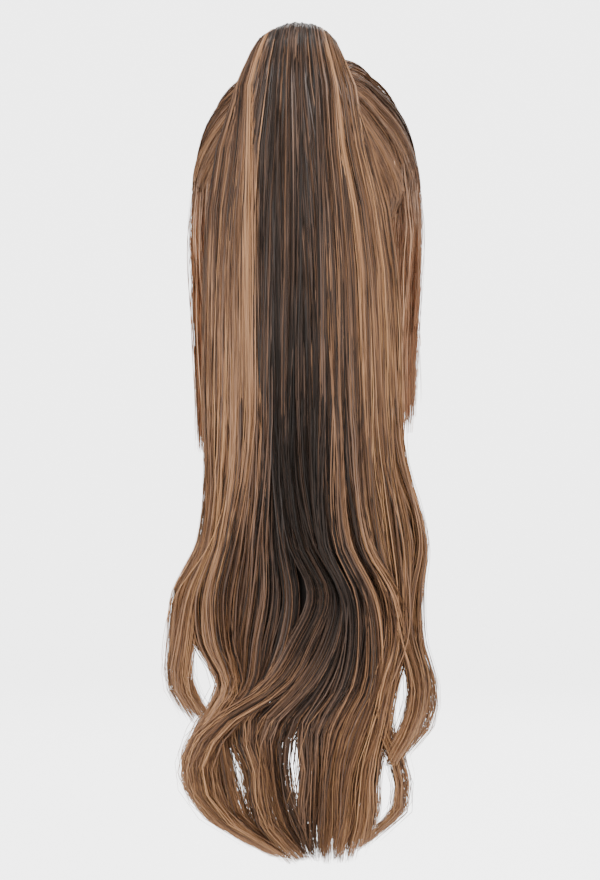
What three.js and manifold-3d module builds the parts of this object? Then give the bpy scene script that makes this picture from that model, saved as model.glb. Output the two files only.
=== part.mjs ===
// A long wavy ponytail wig, in the shape it keeps on a head.
// Millimetres, +Z up. The face opening looks towards -Y and the ponytail hangs behind, towards +Y.
// The origin is the inside top of the cap, where the crown of a head meets it.
import * as THREE from "three";
import Module from "manifold-3d";

const wasm = await Module();
wasm.setup();

// Head that the cap is stretched to
const HEAD_HALF_WIDTH = 77;
const HEAD_HALF_LENGTH = 96;
const HEAD_CROWN_HEIGHT = 105; // from the widest level of the head to the inside top of the cap

// Cap and the hair swept up over it
const CAP_WALL = 2;
const SWEPT_HAIR = 13; // thickness of the swept hair over the cap
const HAIRLINE_HAIR = 4; // its thickness along the rim
const HAIRLINE_TAPER = 28; // how far from the rim it reaches full thickness
const CLUMP_RELIEF = 1.3; // half the height of its combed clumps
const CLUMPS = 20;
const FIT_GAP = 0.3; // left between neighbouring pieces
const MOUND_SPREAD = 3; // how far the hair rises towards the tie, in radii of the flat hair round it

// Rim of the cap, seen from the root of the ponytail: how far the rim lies from the root, in
// degrees about the middle of the head, by the bearing round the root from the forehead
const RIM = [
  { bearing: 0, reach: 92.8 }, // middle of the hairline
  { bearing: 20, reach: 93.7 },
  { bearing: 35, reach: 96.5 }, // temple
  { bearing: 53, reach: 100.5 },
  { bearing: 72, reach: 104 }, // tab in front of the ear
  { bearing: 88, reach: 100 },
  { bearing: 104, reach: 87.5 },
  { bearing: 120, reach: 79 }, // over the ear
  { bearing: 138, reach: 77.5 },
  { bearing: 160, reach: 83 },
  { bearing: 180, reach: 86.5 }, // nape
];

// Ponytail: a gathered neck, a crest that it turns over, and the length that hangs
const ROOT_TILT = 40; // degrees back from straight up, seen from the middle of the head
const NECK_RADIUS = 18.7;
const TIE_WALL = 4;
const TIE_HEIGHT = 9;
const PLATEAU_MARGIN = 1.7; // flat hair round the foot of the tie
const TAIL_HALF_WIDTH = 76; // at the shoulders
const TAIL_HALF_DEPTH = 27;
const TAIL_SPREAD = 100; // half the width across the outermost locks
const TAIL_WRAP = 10; // how far its sides lie forward round the back of the head
const HANG_CLEARANCE = 1; // between the back of the swept hair and the ponytail
const HANG_LENGTH = 592; // from the end of the crest to the lowest tip
const LOCK_HALF_WIDTH = 13;
const LOCK_HALF_DEPTH = 9.5;
const LOCK_PROUD = 3.5; // how far the outermost locks stand out of the gathered mass
const LOCK_TIP = 0.22; // a tip's width, as a share of its lock's
const LOCK_TAPER = 0.24; // the last share of its length, over which a lock narrows
const LOCK_START = 0.7; // its girth and layer at the crest, as a share of what they grow to
const LOCK_RISE = 0.16; // the first share of the hanging length, over which it comes out of the mass
const DEPTH_WAVE = 7; // how far the loose waves move to and from the back
const WAVES = 1.25; // how many of them along the hanging length
const WAVE_STAGGER = 1.9; // radians of a wave from one lock to the next

// Sections of the gathered mass. arc and hang say where along the crest and along the hanging
// length; width and depth run from 0, the neck, to 1, the full size; shift is a share of the spread
const SECTIONS = [
  { arc: 0, hang: 0, width: 0, depth: 0, wrap: 0, shift: 0 },
  { arc: 0.2, hang: 0, width: 0.04, depth: 0.12, wrap: 0, shift: 0.03 },
  { arc: 0.38, hang: 0, width: 0.12, depth: 0.28, wrap: 0, shift: 0.06 },
  { arc: 0.56, hang: 0, width: 0.21, depth: 0.45, wrap: 0.1, shift: 0.08 },
  { arc: 0.78, hang: 0, width: 0.33, depth: 0.65, wrap: 0.4, shift: 0.09 },
  { arc: 1, hang: 0, width: 0.48, depth: 0.85, wrap: 0.8, shift: 0.09 },
  { arc: 1, hang: 0.07, width: 0.7, depth: 1, wrap: 1, shift: 0.08 },
  { arc: 1, hang: 0.15, width: 0.83, depth: 1, wrap: 1, shift: 0.06 },
  { arc: 1, hang: 0.27, width: 0.93, depth: 1, wrap: 0.8, shift: 0.04 },
  { arc: 1, hang: 0.46, width: 0.96, depth: 0.95, wrap: 0.4, shift: 0.03 },
  { arc: 1, hang: 0.59, width: 0.78, depth: 0.9, wrap: 0.3, shift: -0.06 },
  { arc: 1, hang: 0.7, width: 0.66, depth: 0.8, wrap: 0.3, shift: -0.01 },
  { arc: 1, hang: 0.8, width: 0.4, depth: 0.2, wrap: 0.2, shift: -0.02 },
  { arc: 1, hang: 0.87, width: 0.1, depth: -0.5, wrap: 0.1, shift: 0.02 },
  { arc: 1, hang: 0.93, width: -0.25, depth: -1.6, wrap: 0, shift: 0.04 },
];

// Heights that the locks are set out at, as shares of the hanging length
const LEVELS = {
  shoulder: 0.46,
  bend: 0.59,
  swell: 0.7,
  waist: 0.8,
  flare: 0.89,
  curl: 0.95,
  tip: 1,
};

// Locks from one side to the other: where each one lies at the levels, as shares of the spread,
// its layer in the depth, its girth and where along the hanging length it ends
const LOCKS = [
  { shoulder: 0.66, bend: 0.79, swell: 0.95, waist: 0.93, flare: 0.88, curl: 0.84, tip: 0.8,
    layer: 0, girth: 0.8, ends: 0.82 },
  { shoulder: 0.58, bend: 0.66, swell: 0.82, waist: 0.84, flare: 0.79, curl: 0.74, tip: 0.7,
    layer: 0.55, girth: 0.8, ends: 0.83 },
  { shoulder: 0.48, bend: 0.46, swell: 0.63, waist: 0.73, flare: 0.84, curl: 0.68, tip: 0.24,
    layer: 0.35, girth: 0.85, ends: 1 },
  { shoulder: 0.38, bend: 0.27, swell: 0.44, waist: 0.55, flare: 0.72, curl: 0.62, tip: 0.36,
    layer: 0.9, girth: 0.9, ends: 0.98 },
  { shoulder: 0.27, bend: 0.11, swell: 0.27, waist: 0.41, flare: 0.56, curl: 0.48, tip: 0.3,
    layer: 0.75, girth: 0.95, ends: 0.97 },
  { shoulder: 0.14, bend: -0.04, swell: 0.08, waist: 0.24, flare: 0.42, curl: 0.38, tip: 0.17,
    layer: 1, girth: 1, ends: 1 },
  { shoulder: 0.03, bend: -0.18, swell: -0.12, waist: 0, flare: 0.21, curl: 0.17, tip: 0.05,
    layer: 0.85, girth: 1, ends: 1 },
  { shoulder: -0.09, bend: -0.24, swell: -0.24, waist: -0.18, flare: 0.02, curl: -0.01, tip: -0.09,
    layer: 1, girth: 1, ends: 1 },
  { shoulder: -0.21, bend: -0.26, swell: -0.35, waist: -0.4, flare: -0.2, curl: -0.17, tip: -0.24,
    layer: 0.9, girth: 1, ends: 1 },
  { shoulder: -0.32, bend: -0.35, swell: -0.51, waist: -0.59, flare: -0.38, curl: -0.34, tip: -0.38,
    layer: 0.8, girth: 0.9, ends: 0.99 },
  { shoulder: -0.43, bend: -0.4, swell: -0.62, waist: -0.84, flare: -0.73, curl: -0.6, tip: -0.5,
    layer: 1, girth: 0.75, ends: 0.88 },
  { shoulder: -0.53, bend: -0.71, swell: -0.68, waist: -0.57, flare: -0.52, curl: -0.51, tip: -0.43,
    layer: 0.5, girth: 0.85, ends: 0.98 },
  { shoulder: -0.61, bend: -0.83, swell: -0.76, waist: -0.63, flare: -0.67, curl: -0.67, tip: -0.57,
    layer: 0, girth: 0.75, ends: 0.98 },
  { shoulder: 0.5, bend: 0.52, swell: 0.66, waist: 0.72, flare: 0.7, curl: 0.55, tip: 0.42,
    layer: -0.8, girth: 0.9, ends: 0.96 },
  { shoulder: 0.2, bend: 0.14, swell: 0.25, waist: 0.36, flare: 0.4, curl: 0.36, tip: 0.26,
    layer: -0.8, girth: 1, ends: 0.99 },
  { shoulder: -0.12, bend: -0.2, swell: -0.26, waist: -0.22, flare: -0.08, curl: -0.06, tip: -0.12,
    layer: -0.8, girth: 1, ends: 1 },
  { shoulder: -0.45, bend: -0.56, swell: -0.6, waist: -0.52, flare: -0.44, curl: -0.4, tip: -0.36,
    layer: -0.8, girth: 0.9, ends: 0.97 },
];

// Face-framing locks that fall from the temples
const FACE_LOCK_LENGTH = 228; // from the front of its seat on the rim down to its end
const LEFT_LOCK_EXTRA = 14; // the left one is a little longer
const FACE_LOCK_THICK = 9;
const FACE_LOCK_END = 0.35; // thickness at its end, as a share of the full one
const FACE_LOCK_FRONT = 42; // bearings along the rim that a lock grows from
const FACE_LOCK_BACK = 78;
const LOCK_SEAT_GAP = 2 * FIT_GAP; // along the hair, which meets the rim at a slant
const FACE_LOCK_REACH = 94; // how far out its back edge hangs, from the middle of the head
const FACE_LOCK_WIDTH = 36; // across its end
const FACE_LOCK_EDGE = 0.16; // how blunt its two edges are: 0 is sharp, 0.5 as thick as its middle
const FACE_LOCK_AHEAD = 0.9; // how far its front edge and its back edge face forwards
const FACE_LOCK_BESIDE = 0.1;

// Ways of a face lock, as shares of its own length from the seat
const FACE_LOCK_WAY = {
  follow: 0.08, // goes on along the head
  hang: 0.85, // the last share, which hangs straight
  turn: 0.35, // by here it has turned flat to the side of the head
  round: 0.2, // by here its edges are round
  fill: 0.3, // by here it is fully thick
  thin: 0.45, // the last share, over which it thins
};

// How finely the round forms are faceted
const HEAD_COLUMNS = 60;
const HEAD_ROWS = 9;
const MASS_SIDES = 20;
const MASS_STATIONS = 23;
const MASS_CROWDING = 1.35; // over 1, its stations lie closer towards the crest
const LOCK_SIDES = 6;
const LOCK_STATIONS = 17;
const LOCK_CROWDING = 0.8; // under 1, its stations lie closer towards the tip
const FACE_LOCK_STATIONS = 10;
const TIE_SIDES = 32;

const DEGREE = Math.PI / 180;
const COLUMN_STEP = 360 / HEAD_COLUMNS;
const headCentre = new THREE.Vector3(0, 0, -HEAD_CROWN_HEIGHT);
const rootAxis = new THREE.Vector3(0, Math.sin(ROOT_TILT * DEGREE), Math.cos(ROOT_TILT * DEGREE));
const towardsFace = new THREE.Vector3(0, -rootAxis.z, rootAxis.y); // square to it

const mix = (a, b, t) => a + (b - a) * t;
const clamp = (t) => Math.min(1, Math.max(0, t));
const ease = (t) => clamp(t) ** 2 * (3 - 2 * clamp(t));

// A smooth value between rows [place, value], with slopes from the neighbours and level ends
function between(rows, place) {
  const last = rows.length - 1;
  if (place <= rows[0][0]) return rows[0][1];
  if (place >= rows[last][0]) return rows[last][1];
  const i = rows.findIndex(([at]) => at > place) - 1;
  const slope = (k) => {
    const low = rows[Math.max(0, k - 1)];
    const high = rows[Math.min(last, k + 1)];
    return k === 0 || k === last ? 0 : (high[1] - low[1]) / (high[0] - low[0]);
  };
  const [from, a] = rows[i];
  const [to, b] = rows[i + 1];
  const span = to - from;
  const t = (place - from) / span;
  const pull = slope(i) * span * t * (1 - t) ** 2 - slope(i + 1) * span * t ** 2 * (1 - t);
  return mix(a, b, ease(t)) + pull;
}

// A closed solid through rings of equally many points. An end is closed round a pole, or without
// one as a strip across the ring. Each four-sided face is split along its shorter diagonal
function skin(rings, firstPole, lastPole) {
  const count = rings[0].length;
  const points = rings.flat();
  const lastRing = points.length - count;
  const faces = [];
  const quad = (a, b, c, d) => {
    const shorter = points[a].distanceTo(points[c]) < points[b].distanceTo(points[d]);
    faces.push(...(shorter ? [[a, b, c], [a, c, d]] : [[a, b, d], [b, c, d]]));
  };
  const close = (corner, pole) => {
    if (pole) {
      const tip = points.push(pole) - 1;
      corner.forEach((a, i) => faces.push([a, corner[(i + 1) % count], tip]));
    } else {
      for (let i = 0; i + 1 < count / 2; i++)
        quad(corner[i], corner[i + 1], corner[count - 2 - i], corner[count - 1 - i]);
    }
  };
  for (let near = 0; near < lastRing; near += count) {
    for (let c = 0; c < count; c++) {
      const d = (c + 1) % count;
      quad(near + c, near + d, near + count + d, near + count + c);
    }
  }
  const around = Array.from({ length: count }, (_, c) => c);
  close(around.map((c) => count - 1 - c), firstPole);
  close(around.map((c) => lastRing + c), lastPole);
  const volume = faces.reduce(
    (sum, [a, b, c]) => sum + points[a].dot(points[b].clone().cross(points[c])),
    0,
  );
  if (volume < 0) faces.forEach((face) => face.reverse());
  return new THREE.BufferGeometry().setFromPoints(points).setIndex(faces.flat());
}

// The middle of a ring, for the point that closes it
const middle = (ring) =>
  ring.reduce((sum, p) => sum.add(p), new THREE.Vector3()).divideScalar(ring.length);

// A closed three.js geometry as a solid that can be joined, and back
function solidOf(geometry) {
  return new wasm.Manifold(
    new wasm.Mesh({
      numProp: 3,
      vertProperties: geometry.attributes.position.array,
      triVerts: new Uint32Array(geometry.index.array),
    }),
  );
}

function geometryOf(solid) {
  const { vertProperties, triVerts } = solid.getMesh();
  return new THREE.BufferGeometry()
    .setAttribute("position", new THREE.BufferAttribute(vertProperties, 3))
    .setIndex(new THREE.BufferAttribute(triVerts, 1));
}

// The head form: a point in a direction from its middle, raised off the inside of the cap
function headRadius(direction, raise) {
  const x = direction.x / (HEAD_HALF_WIDTH + raise);
  const y = direction.y / (HEAD_HALF_LENGTH + raise);
  const z = direction.z / (HEAD_CROWN_HEIGHT + raise);
  return 1 / Math.hypot(x, y, z);
}

const headPoint = (direction, radius) => direction.clone().multiplyScalar(radius).add(headCentre);

// The angle from the root to the rim, at a bearing round the root
function rimReach(bearing) {
  const turned = ((bearing % 360) + 360) % 360;
  const rows = RIM.map((row) => [row.bearing, row.reach]);
  return between(rows, turned > 180 ? 360 - turned : turned) * DEGREE;
}

// Hair runs from the rim to the root of the ponytail along the shortest way round the head
function flowDirection(bearing, fromRoot) {
  const side = towardsFace
    .clone()
    .multiplyScalar(Math.cos(bearing * DEGREE))
    .add(new THREE.Vector3(Math.sin(bearing * DEGREE), 0, 0));
  return rootAxis.clone().multiplyScalar(Math.cos(fromRoot)).addScaledVector(side, Math.sin(fromRoot));
}

const OVER_CAP = CAP_WALL + FIT_GAP; // raise of the underside of the swept hair
const rootRadius = headRadius(rootAxis, OVER_CAP + SWEPT_HAIR);
const plateauRadius = NECK_RADIUS + FIT_GAP + TIE_WALL + PLATEAU_MARGIN;
const plateauAngle = Math.atan(plateauRadius / rootRadius);
const moundAngle = MOUND_SPREAD * plateauAngle;
const foot = headPoint(rootAxis, rootRadius); // middle of the plateau under the tie

// Outer radius of the swept hair: thin at the rim, combed into clumps, flat under the tie
function sweptRadius(direction, bearing, fromRoot, fromRim) {
  const fullness = ease((fromRim * rootRadius) / HAIRLINE_TAPER);
  const combed = Math.cos(CLUMPS * bearing * DEGREE);
  const settle = ease((fromRoot - plateauAngle) / plateauAngle);
  const relief = CLUMP_RELIEF * combed * fullness * settle;
  const raise = OVER_CAP + mix(HAIRLINE_HAIR, SWEPT_HAIR, fullness) + relief;
  const level = rootRadius / Math.cos(Math.min(fromRoot, plateauAngle));
  const mound = 1 - ease((fromRoot - plateauAngle) / (moundAngle - plateauAngle));
  return mix(headRadius(direction, raise), level, mound * fullness);
}

// A bowl between two radii, from its inner pole over the rim to its outer pole
function bowl(innerRadius, outerRadius) {
  const ring = (row, radius) =>
    Array.from({ length: HEAD_COLUMNS }, (_, column) => {
      const bearing = column * COLUMN_STEP;
      const reach = rimReach(bearing);
      const fromRoot = mix(plateauAngle, reach, row / HEAD_ROWS);
      const direction = flowDirection(bearing, fromRoot);
      return headPoint(direction, radius(direction, bearing, fromRoot, reach - fromRoot));
    });
  const rows = Array.from({ length: HEAD_ROWS + 1 }, (_, row) => row);
  const inner = rows.map((row) => ring(row, innerRadius));
  const outer = rows.reverse().map((row) => ring(row, outerRadius));
  return skin(
    [...inner, ...outer],
    headPoint(rootAxis, innerRadius(rootAxis, 0, 0, Math.PI / 2)),
    headPoint(rootAxis, outerRadius(rootAxis, 0, 0, Math.PI / 2)),
  );
}

function capGeometry() {
  return bowl(
    (direction) => headRadius(direction, 0),
    (direction) => headRadius(direction, CAP_WALL),
  );
}

function crownHairGeometry() {
  return bowl((direction) => headRadius(direction, OVER_CAP), sweptRadius);
}

// The elastic tie round the neck of the ponytail
function tieGeometry() {
  const inner = NECK_RADIUS + FIT_GAP;
  const outer = inner + TIE_WALL;
  const round = TIE_HEIGHT / 4;
  const profile = [
    [inner, 0],
    [outer - round, 0],
    [outer, round],
    [outer, TIE_HEIGHT - round],
    [outer - round, TIE_HEIGHT],
    [inner, TIE_HEIGHT],
    [inner, 0],
  ].map(([radius, height]) => new THREE.Vector2(radius, height + FIT_GAP));
  return new THREE.LatheGeometry(profile, TIE_SIDES);
}

// Way of the ponytail: straight through the tie, round the crest and straight down
const STRAIGHT = TIE_HEIGHT + 2 * FIT_GAP;
const sweptBack = HEAD_HALF_LENGTH + OVER_CAP + SWEPT_HAIR + CLUMP_RELIEF;
const hangBack = sweptBack + HANG_CLEARANCE + TAIL_HALF_DEPTH;
const crestTurn = (180 - ROOT_TILT) * DEGREE;
const crestStart = foot.clone().addScaledVector(rootAxis, STRAIGHT);
const crestRadius = (hangBack - crestStart.y) / (1 + Math.cos(ROOT_TILT * DEGREE));
const crestLength = crestRadius * crestTurn;
const crestCentre = new THREE.Vector3(
  0,
  hangBack - crestRadius,
  crestStart.z - crestRadius * Math.sin(ROOT_TILT * DEGREE),
);
const runAt = (arc, hang) => STRAIGHT + arc * crestLength + hang * HANG_LENGTH;
const hangAt = (run) => (run - runAt(1, 0)) / HANG_LENGTH;

// The point on that way after a run from the root, and the outward direction there
function tailFrame(run) {
  const turned = clamp((run - STRAIGHT) / crestLength) * crestTurn;
  const angle = ROOT_TILT * DEGREE + turned;
  const outward = new THREE.Vector3(0, -Math.cos(angle), Math.sin(angle));
  const centre = crestCentre.clone().addScaledVector(outward, crestRadius);
  if (run < STRAIGHT) centre.addScaledVector(rootAxis, run - STRAIGHT);
  centre.z -= Math.max(0, hangAt(run)) * HANG_LENGTH;
  return { centre, outward };
}

const sectionRows = (column) => SECTIONS.map((row) => [runAt(row.arc, row.hang), row[column]]);
const halfWidthAt = (run) => mix(NECK_RADIUS, TAIL_HALF_WIDTH, between(sectionRows("width"), run));
const MASS_HALF_DEPTH = TAIL_HALF_DEPTH - LOCK_PROUD;
const halfDepthAt = (run) => mix(NECK_RADIUS, MASS_HALF_DEPTH, between(sectionRows("depth"), run));
const shiftAt = (run) => between(sectionRows("shift"), run) * TAIL_SPREAD;

// A place in the ponytail, from how far it is across and how far out of the middle layer
function tailPoint(run, across, out) {
  const { centre, outward } = tailFrame(run);
  const aside = Math.min(1, Math.abs(across) / TAIL_HALF_WIDTH) ** 2;
  const wrap = TAIL_WRAP * between(sectionRows("wrap"), run) * aside;
  return centre.addScaledVector(outward, out - wrap).add(new THREE.Vector3(across, 0, 0));
}

// The gathered mass in the middle, from inside the tie down to where the locks part
function massGeometry() {
  const first = FIT_GAP;
  const last = runAt(1, SECTIONS.at(-1).hang);
  const ring = (run) =>
    Array.from({ length: MASS_SIDES }, (_, side) => {
      const turn = (side / MASS_SIDES) * 2 * Math.PI;
      const across = shiftAt(run) + halfWidthAt(run) * Math.cos(turn);
      return tailPoint(run, across, halfDepthAt(run) * Math.sin(turn));
    });
  const early = [first, STRAIGHT];
  const later = Array.from({ length: MASS_STATIONS }, (_, i) =>
    mix(STRAIGHT, last, ((i + 1) / MASS_STATIONS) ** MASS_CROWDING),
  );
  const rings = [...early, ...later].map(ring);
  return skin(rings, middle(rings[0]), middle(rings.at(-1)));
}

// How far across a lock lies at a share of the hanging length: fanned out from the crest down to
// the shoulders, then by its own row
function lockAcross(lock, hang) {
  const lane = (lock.shoulder * TAIL_SPREAD) / TAIL_HALF_WIDTH;
  const combed = runAt(1, Math.min(hang, LEVELS.shoulder));
  const fanned = shiftAt(combed) + lane * halfWidthAt(combed);
  const rows = Object.entries(LEVELS).map(([level, at]) => [at, lock[level] * TAIL_SPREAD]);
  return mix(fanned, between(rows, hang), ease(hang / LEVELS.shoulder));
}

function lockGeometry(lock, index) {
  const ring = (hang) => {
    const run = runAt(1, hang);
    const across = lockAcross(lock, hang);
    const loose = ease((hang - LEVELS.shoulder) / (LEVELS.waist - LEVELS.shoulder));
    const wave = DEPTH_WAVE * loose * Math.sin(2 * Math.PI * WAVES * hang + WAVE_STAGGER * index);
    const fan = halfWidthAt(runAt(1, Math.min(hang, LEVELS.shoulder))) / TAIL_HALF_WIDTH;
    const risen = mix(LOCK_START, 1, ease(hang / LOCK_RISE));
    const out = lock.layer * risen * (TAIL_HALF_DEPTH - LOCK_HALF_DEPTH * fan) + wave;
    const taper = mix(1, LOCK_TIP, ease((hang / lock.ends - 1) / LOCK_TAPER + 1));
    const size = lock.girth * fan * risen * taper;
    return Array.from({ length: LOCK_SIDES }, (_, side) => {
      const turn = ((side + 0.5) / LOCK_SIDES) * 2 * Math.PI;
      const aside = LOCK_HALF_WIDTH * size * Math.cos(turn);
      return tailPoint(run, across + aside, out + LOCK_HALF_DEPTH * size * Math.sin(turn));
    });
  };
  const rings = Array.from({ length: LOCK_STATIONS }, (_, i) =>
    ring(lock.ends * (i / (LOCK_STATIONS - 1)) ** LOCK_CROWDING),
  );
  return skin(rings, middle(rings[0]), middle(rings.at(-1)));
}

// Mass and locks in one body; a pocket that they close off between them is filled
function ponytailGeometry() {
  const joined = LOCKS.reduce(
    (body, lock, index) => body.add(solidOf(lockGeometry(lock, index))),
    solidOf(massGeometry()),
  );
  const bodies = joined.decompose().sort((a, b) => b.volume() - a.volume());
  return geometryOf(bodies[0]);
}

// A lock that hangs from the temple: side is 1 on the wearer's left and -1 on the right. It grows
// from the same columns as the rim of the swept hair, so its top edge follows the rim
function faceLockGeometry(side, length) {
  const first = Math.round(FACE_LOCK_FRONT / COLUMN_STEP);
  const count = Math.round(FACE_LOCK_BACK / COLUMN_STEP) - first + 1;
  const seat = (bearing, extra) => {
    const direction = flowDirection(bearing, rimReach(bearing) + extra / rootRadius);
    return headPoint(direction, headRadius(direction, OVER_CAP + HAIRLINE_HAIR / 2));
  };
  const endHeight = seat(FACE_LOCK_FRONT, 0).z - length;
  const columns = Array.from({ length: count }, (_, i) => {
    const place = i / (count - 1);
    const bearing = side * (first + i) * COLUMN_STEP;
    const start = seat(bearing, LOCK_SEAT_GAP);
    const onward = seat(bearing, 2 * LOCK_SEAT_GAP).sub(start).normalize();
    const across = side * (FACE_LOCK_REACH - FACE_LOCK_WIDTH * (1 - place));
    const end = new THREE.Vector3(across, start.y, endHeight);
    const fall = start.z - endHeight;
    const curve = new THREE.CubicBezierCurve3(
      start,
      start.clone().addScaledVector(onward, fall * FACE_LOCK_WAY.follow),
      end.clone().add(new THREE.Vector3(0, 0, fall * FACE_LOCK_WAY.hang)),
      end,
    );
    const ahead = mix(FACE_LOCK_AHEAD, FACE_LOCK_BESIDE, place);
    const facing = new THREE.Vector3(side, -ahead, 0).normalize();
    return { place, curve, outward: start.clone().sub(headCentre).normalize(), facing };
  });
  const ring = (s) => {
    const filled = ease(s / FACE_LOCK_WAY.fill);
    const thinned = ease((s - 1) / FACE_LOCK_WAY.thin + 1);
    const full = mix(HAIRLINE_HAIR - 2 * FIT_GAP, FACE_LOCK_THICK, filled);
    const thick = mix(full, FACE_LOCK_THICK * FACE_LOCK_END, thinned);
    const offsets = columns.map(({ place, outward, facing }) => {
      const bulge = Math.sin(Math.PI * mix(FACE_LOCK_EDGE, 1 - FACE_LOCK_EDGE, place));
      const half = (thick / 2) * mix(1, bulge, ease(s / FACE_LOCK_WAY.round));
      const turned = outward.clone().lerp(facing, ease(s / FACE_LOCK_WAY.turn));
      return turned.normalize().multiplyScalar(half);
    });
    const points = columns.map(({ curve }) => curve.getPoint(s));
    const outer = points.map((point, i) => point.clone().add(offsets[i]));
    const inner = points.map((point, i) => point.clone().sub(offsets[i]));
    return [...outer, ...inner.reverse()];
  };
  const rings = Array.from({ length: FACE_LOCK_STATIONS }, (_, i) =>
    ring(i / (FACE_LOCK_STATIONS - 1)),
  );
  return skin(rings);
}

const NET = { color: 0x2a221e, roughness: 0.85 };
const ELASTIC = { color: 0x2a221e, roughness: 0.7 };
const BROWN_HAIR = { color: 0x5f4636, roughness: 0.45 };
const DEEP_HAIR = { color: 0x4d3a2f, roughness: 0.45 };
const CARAMEL_HAIR = { color: 0xa5764d, roughness: 0.45 };

function piece(name, geometry, finish) {
  const look = { ...finish, metalness: 0, flatShading: true };
  const mesh = new THREE.Mesh(geometry, new THREE.MeshStandardMaterial(look));
  mesh.name = name;
  return mesh;
}

const leftLock = faceLockGeometry(1, FACE_LOCK_LENGTH + LEFT_LOCK_EXTRA);
const rightLock = faceLockGeometry(-1, FACE_LOCK_LENGTH);

const wig = new THREE.Group();
wig.add(piece("cap", capGeometry(), NET));
wig.add(piece("crown_hair", crownHairGeometry(), BROWN_HAIR));
wig.add(piece("ponytail", ponytailGeometry(), DEEP_HAIR));
wig.add(piece("face_lock_left", leftLock, CARAMEL_HAIR));
wig.add(piece("face_lock_right", rightLock, CARAMEL_HAIR));

// The tie stands on the plateau, square to the root
const tie = piece("ponytail_tie", tieGeometry(), ELASTIC);
tie.position.copy(foot);
tie.quaternion.setFromUnitVectors(new THREE.Vector3(0, 1, 0), rootAxis);
wig.add(tie);

export default wig;
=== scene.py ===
# %% [markdown]
# A long ponytail wig, seen from behind
# The wig is swept-up hair on an open cap, gathered high by a tie into a long tail that turns over
# and hangs, with a caramel lock at each temple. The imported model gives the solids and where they
# are. What makes it look like hair is left to this script: some thousands of fine fibres, laid
# along the same forms as ribbons of a few flat faces each.

import bpy
import numpy as np
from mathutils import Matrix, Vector


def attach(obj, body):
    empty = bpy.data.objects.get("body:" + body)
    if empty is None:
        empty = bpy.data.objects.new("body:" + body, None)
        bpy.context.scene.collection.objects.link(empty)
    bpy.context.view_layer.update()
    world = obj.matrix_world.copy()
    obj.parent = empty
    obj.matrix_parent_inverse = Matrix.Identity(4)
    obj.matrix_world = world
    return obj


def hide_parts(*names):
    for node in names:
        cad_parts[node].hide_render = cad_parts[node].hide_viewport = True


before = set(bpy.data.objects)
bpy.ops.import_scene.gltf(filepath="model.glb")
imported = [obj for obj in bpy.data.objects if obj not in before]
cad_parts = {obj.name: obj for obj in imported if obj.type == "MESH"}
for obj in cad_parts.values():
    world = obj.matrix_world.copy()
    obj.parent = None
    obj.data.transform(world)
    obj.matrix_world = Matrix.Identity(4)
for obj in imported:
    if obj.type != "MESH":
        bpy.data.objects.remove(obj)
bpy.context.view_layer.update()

# %% [markdown]
# Measures
# Everything here is in metres. The forms are the ones that the solids were made from, so the same
# named sizes come back: first the head that the cap is stretched to and the hair swept over it.
# Writing them in millimetres times MM keeps them readable.

# %% Measures of the wig
MM = 0.001
HEAD_HALVES = np.array([77.0, 96.0, 105.0]) * MM  # across, front to back, widest level to crown
CAP_WALL = 2 * MM
FIT_GAP = 0.3 * MM
SWEPT_HAIR = 13 * MM
HAIRLINE_HAIR = 4 * MM
HAIRLINE_TAPER = 28 * MM
ROOT_TILT = np.radians(40)

RIGHT = np.array([1.0, 0.0, 0.0])  # towards the wearer's left, which is left in the picture
head_centre = np.array([0.0, 0.0, -HEAD_HALVES[2]])
root_axis = np.array([0.0, np.sin(ROOT_TILT), np.cos(ROOT_TILT)])
towards_face = np.array([0.0, -root_axis[2], root_axis[1]])
print("root of the ponytail points along", root_axis.round(3))

# %% [markdown]
# Smooth tables
# A form that changes along its length is told by a short table: at this place, this much. Between
# the rows a smooth curve is wanted, not straight pieces. Numpy works the curve out for thousands
# of points at once, which is what makes so many fibres possible in a few seconds.


# %% Blends and smooth tables
def mix(a, b, t):
    return a + (b - a) * t


def clamp(t):
    return np.clip(t, 0.0, 1.0)


def ease(t):
    return clamp(t) ** 2 * (3 - 2 * clamp(t))


def between(places, values, place, end_slope=0):
    """Smooth values between table rows. 0 leaves it level at its end, 1 lets it run on."""
    places, values = np.asarray(places, float), np.asarray(values, float)
    slope = np.zeros(len(places))
    slope[1:-1] = (values[2:] - values[:-2]) / (places[2:] - places[:-2])
    slope[-1] = end_slope * (values[-1] - values[-2]) / (places[-1] - places[-2])
    place = np.clip(place, places[0], places[-1])
    i = np.clip(np.searchsorted(places, place, side="right") - 1, 0, len(places) - 2)
    span = places[i + 1] - places[i]
    t = (place - places[i]) / span
    pull = slope[i] * span * t * (1 - t) ** 2 - slope[i + 1] * span * t**2 * (1 - t)
    return mix(values[i], values[i + 1], ease(t)) + pull


def unit(vectors):
    return vectors / np.maximum(np.linalg.norm(vectors, axis=-1, keepdims=True), 1e-12)


print("half way in a table from 0 to 1:", float(between([0, 1], [0, 1], 0.5)))

# %% [markdown]
# The head form
# The cap and the hair swept over it are measured from the middle of the head: a direction and a
# distance. Swept-up hair runs from the rim to the root of the ponytail, so a direction is told by
# its bearing round the root, 0 at the forehead, and how far it lies from the root.

# %% Head form and the rim of the cap
CLUMP_RELIEF = 1.3 * MM
CLUMPS = 20
MOUND_SPREAD = 3
NECK_RADIUS = 18.7 * MM
TIE_WALL = 4 * MM
PLATEAU_MARGIN = 1.7 * MM
RIM_BEARINGS = [0, 20, 35, 53, 72, 88, 104, 120, 138, 160, 180]
RIM_REACHES = [92.8, 93.7, 96.5, 100.5, 104, 100, 87.5, 79, 77.5, 83, 86.5]
OVER_CAP = CAP_WALL + FIT_GAP


def head_radius(direction, rise):
    return 1 / np.linalg.norm(direction / (HEAD_HALVES + np.asarray(rise)[..., None]), axis=-1)


def head_point(direction, radius):
    return head_centre + direction * np.asarray(radius)[..., None]


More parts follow.
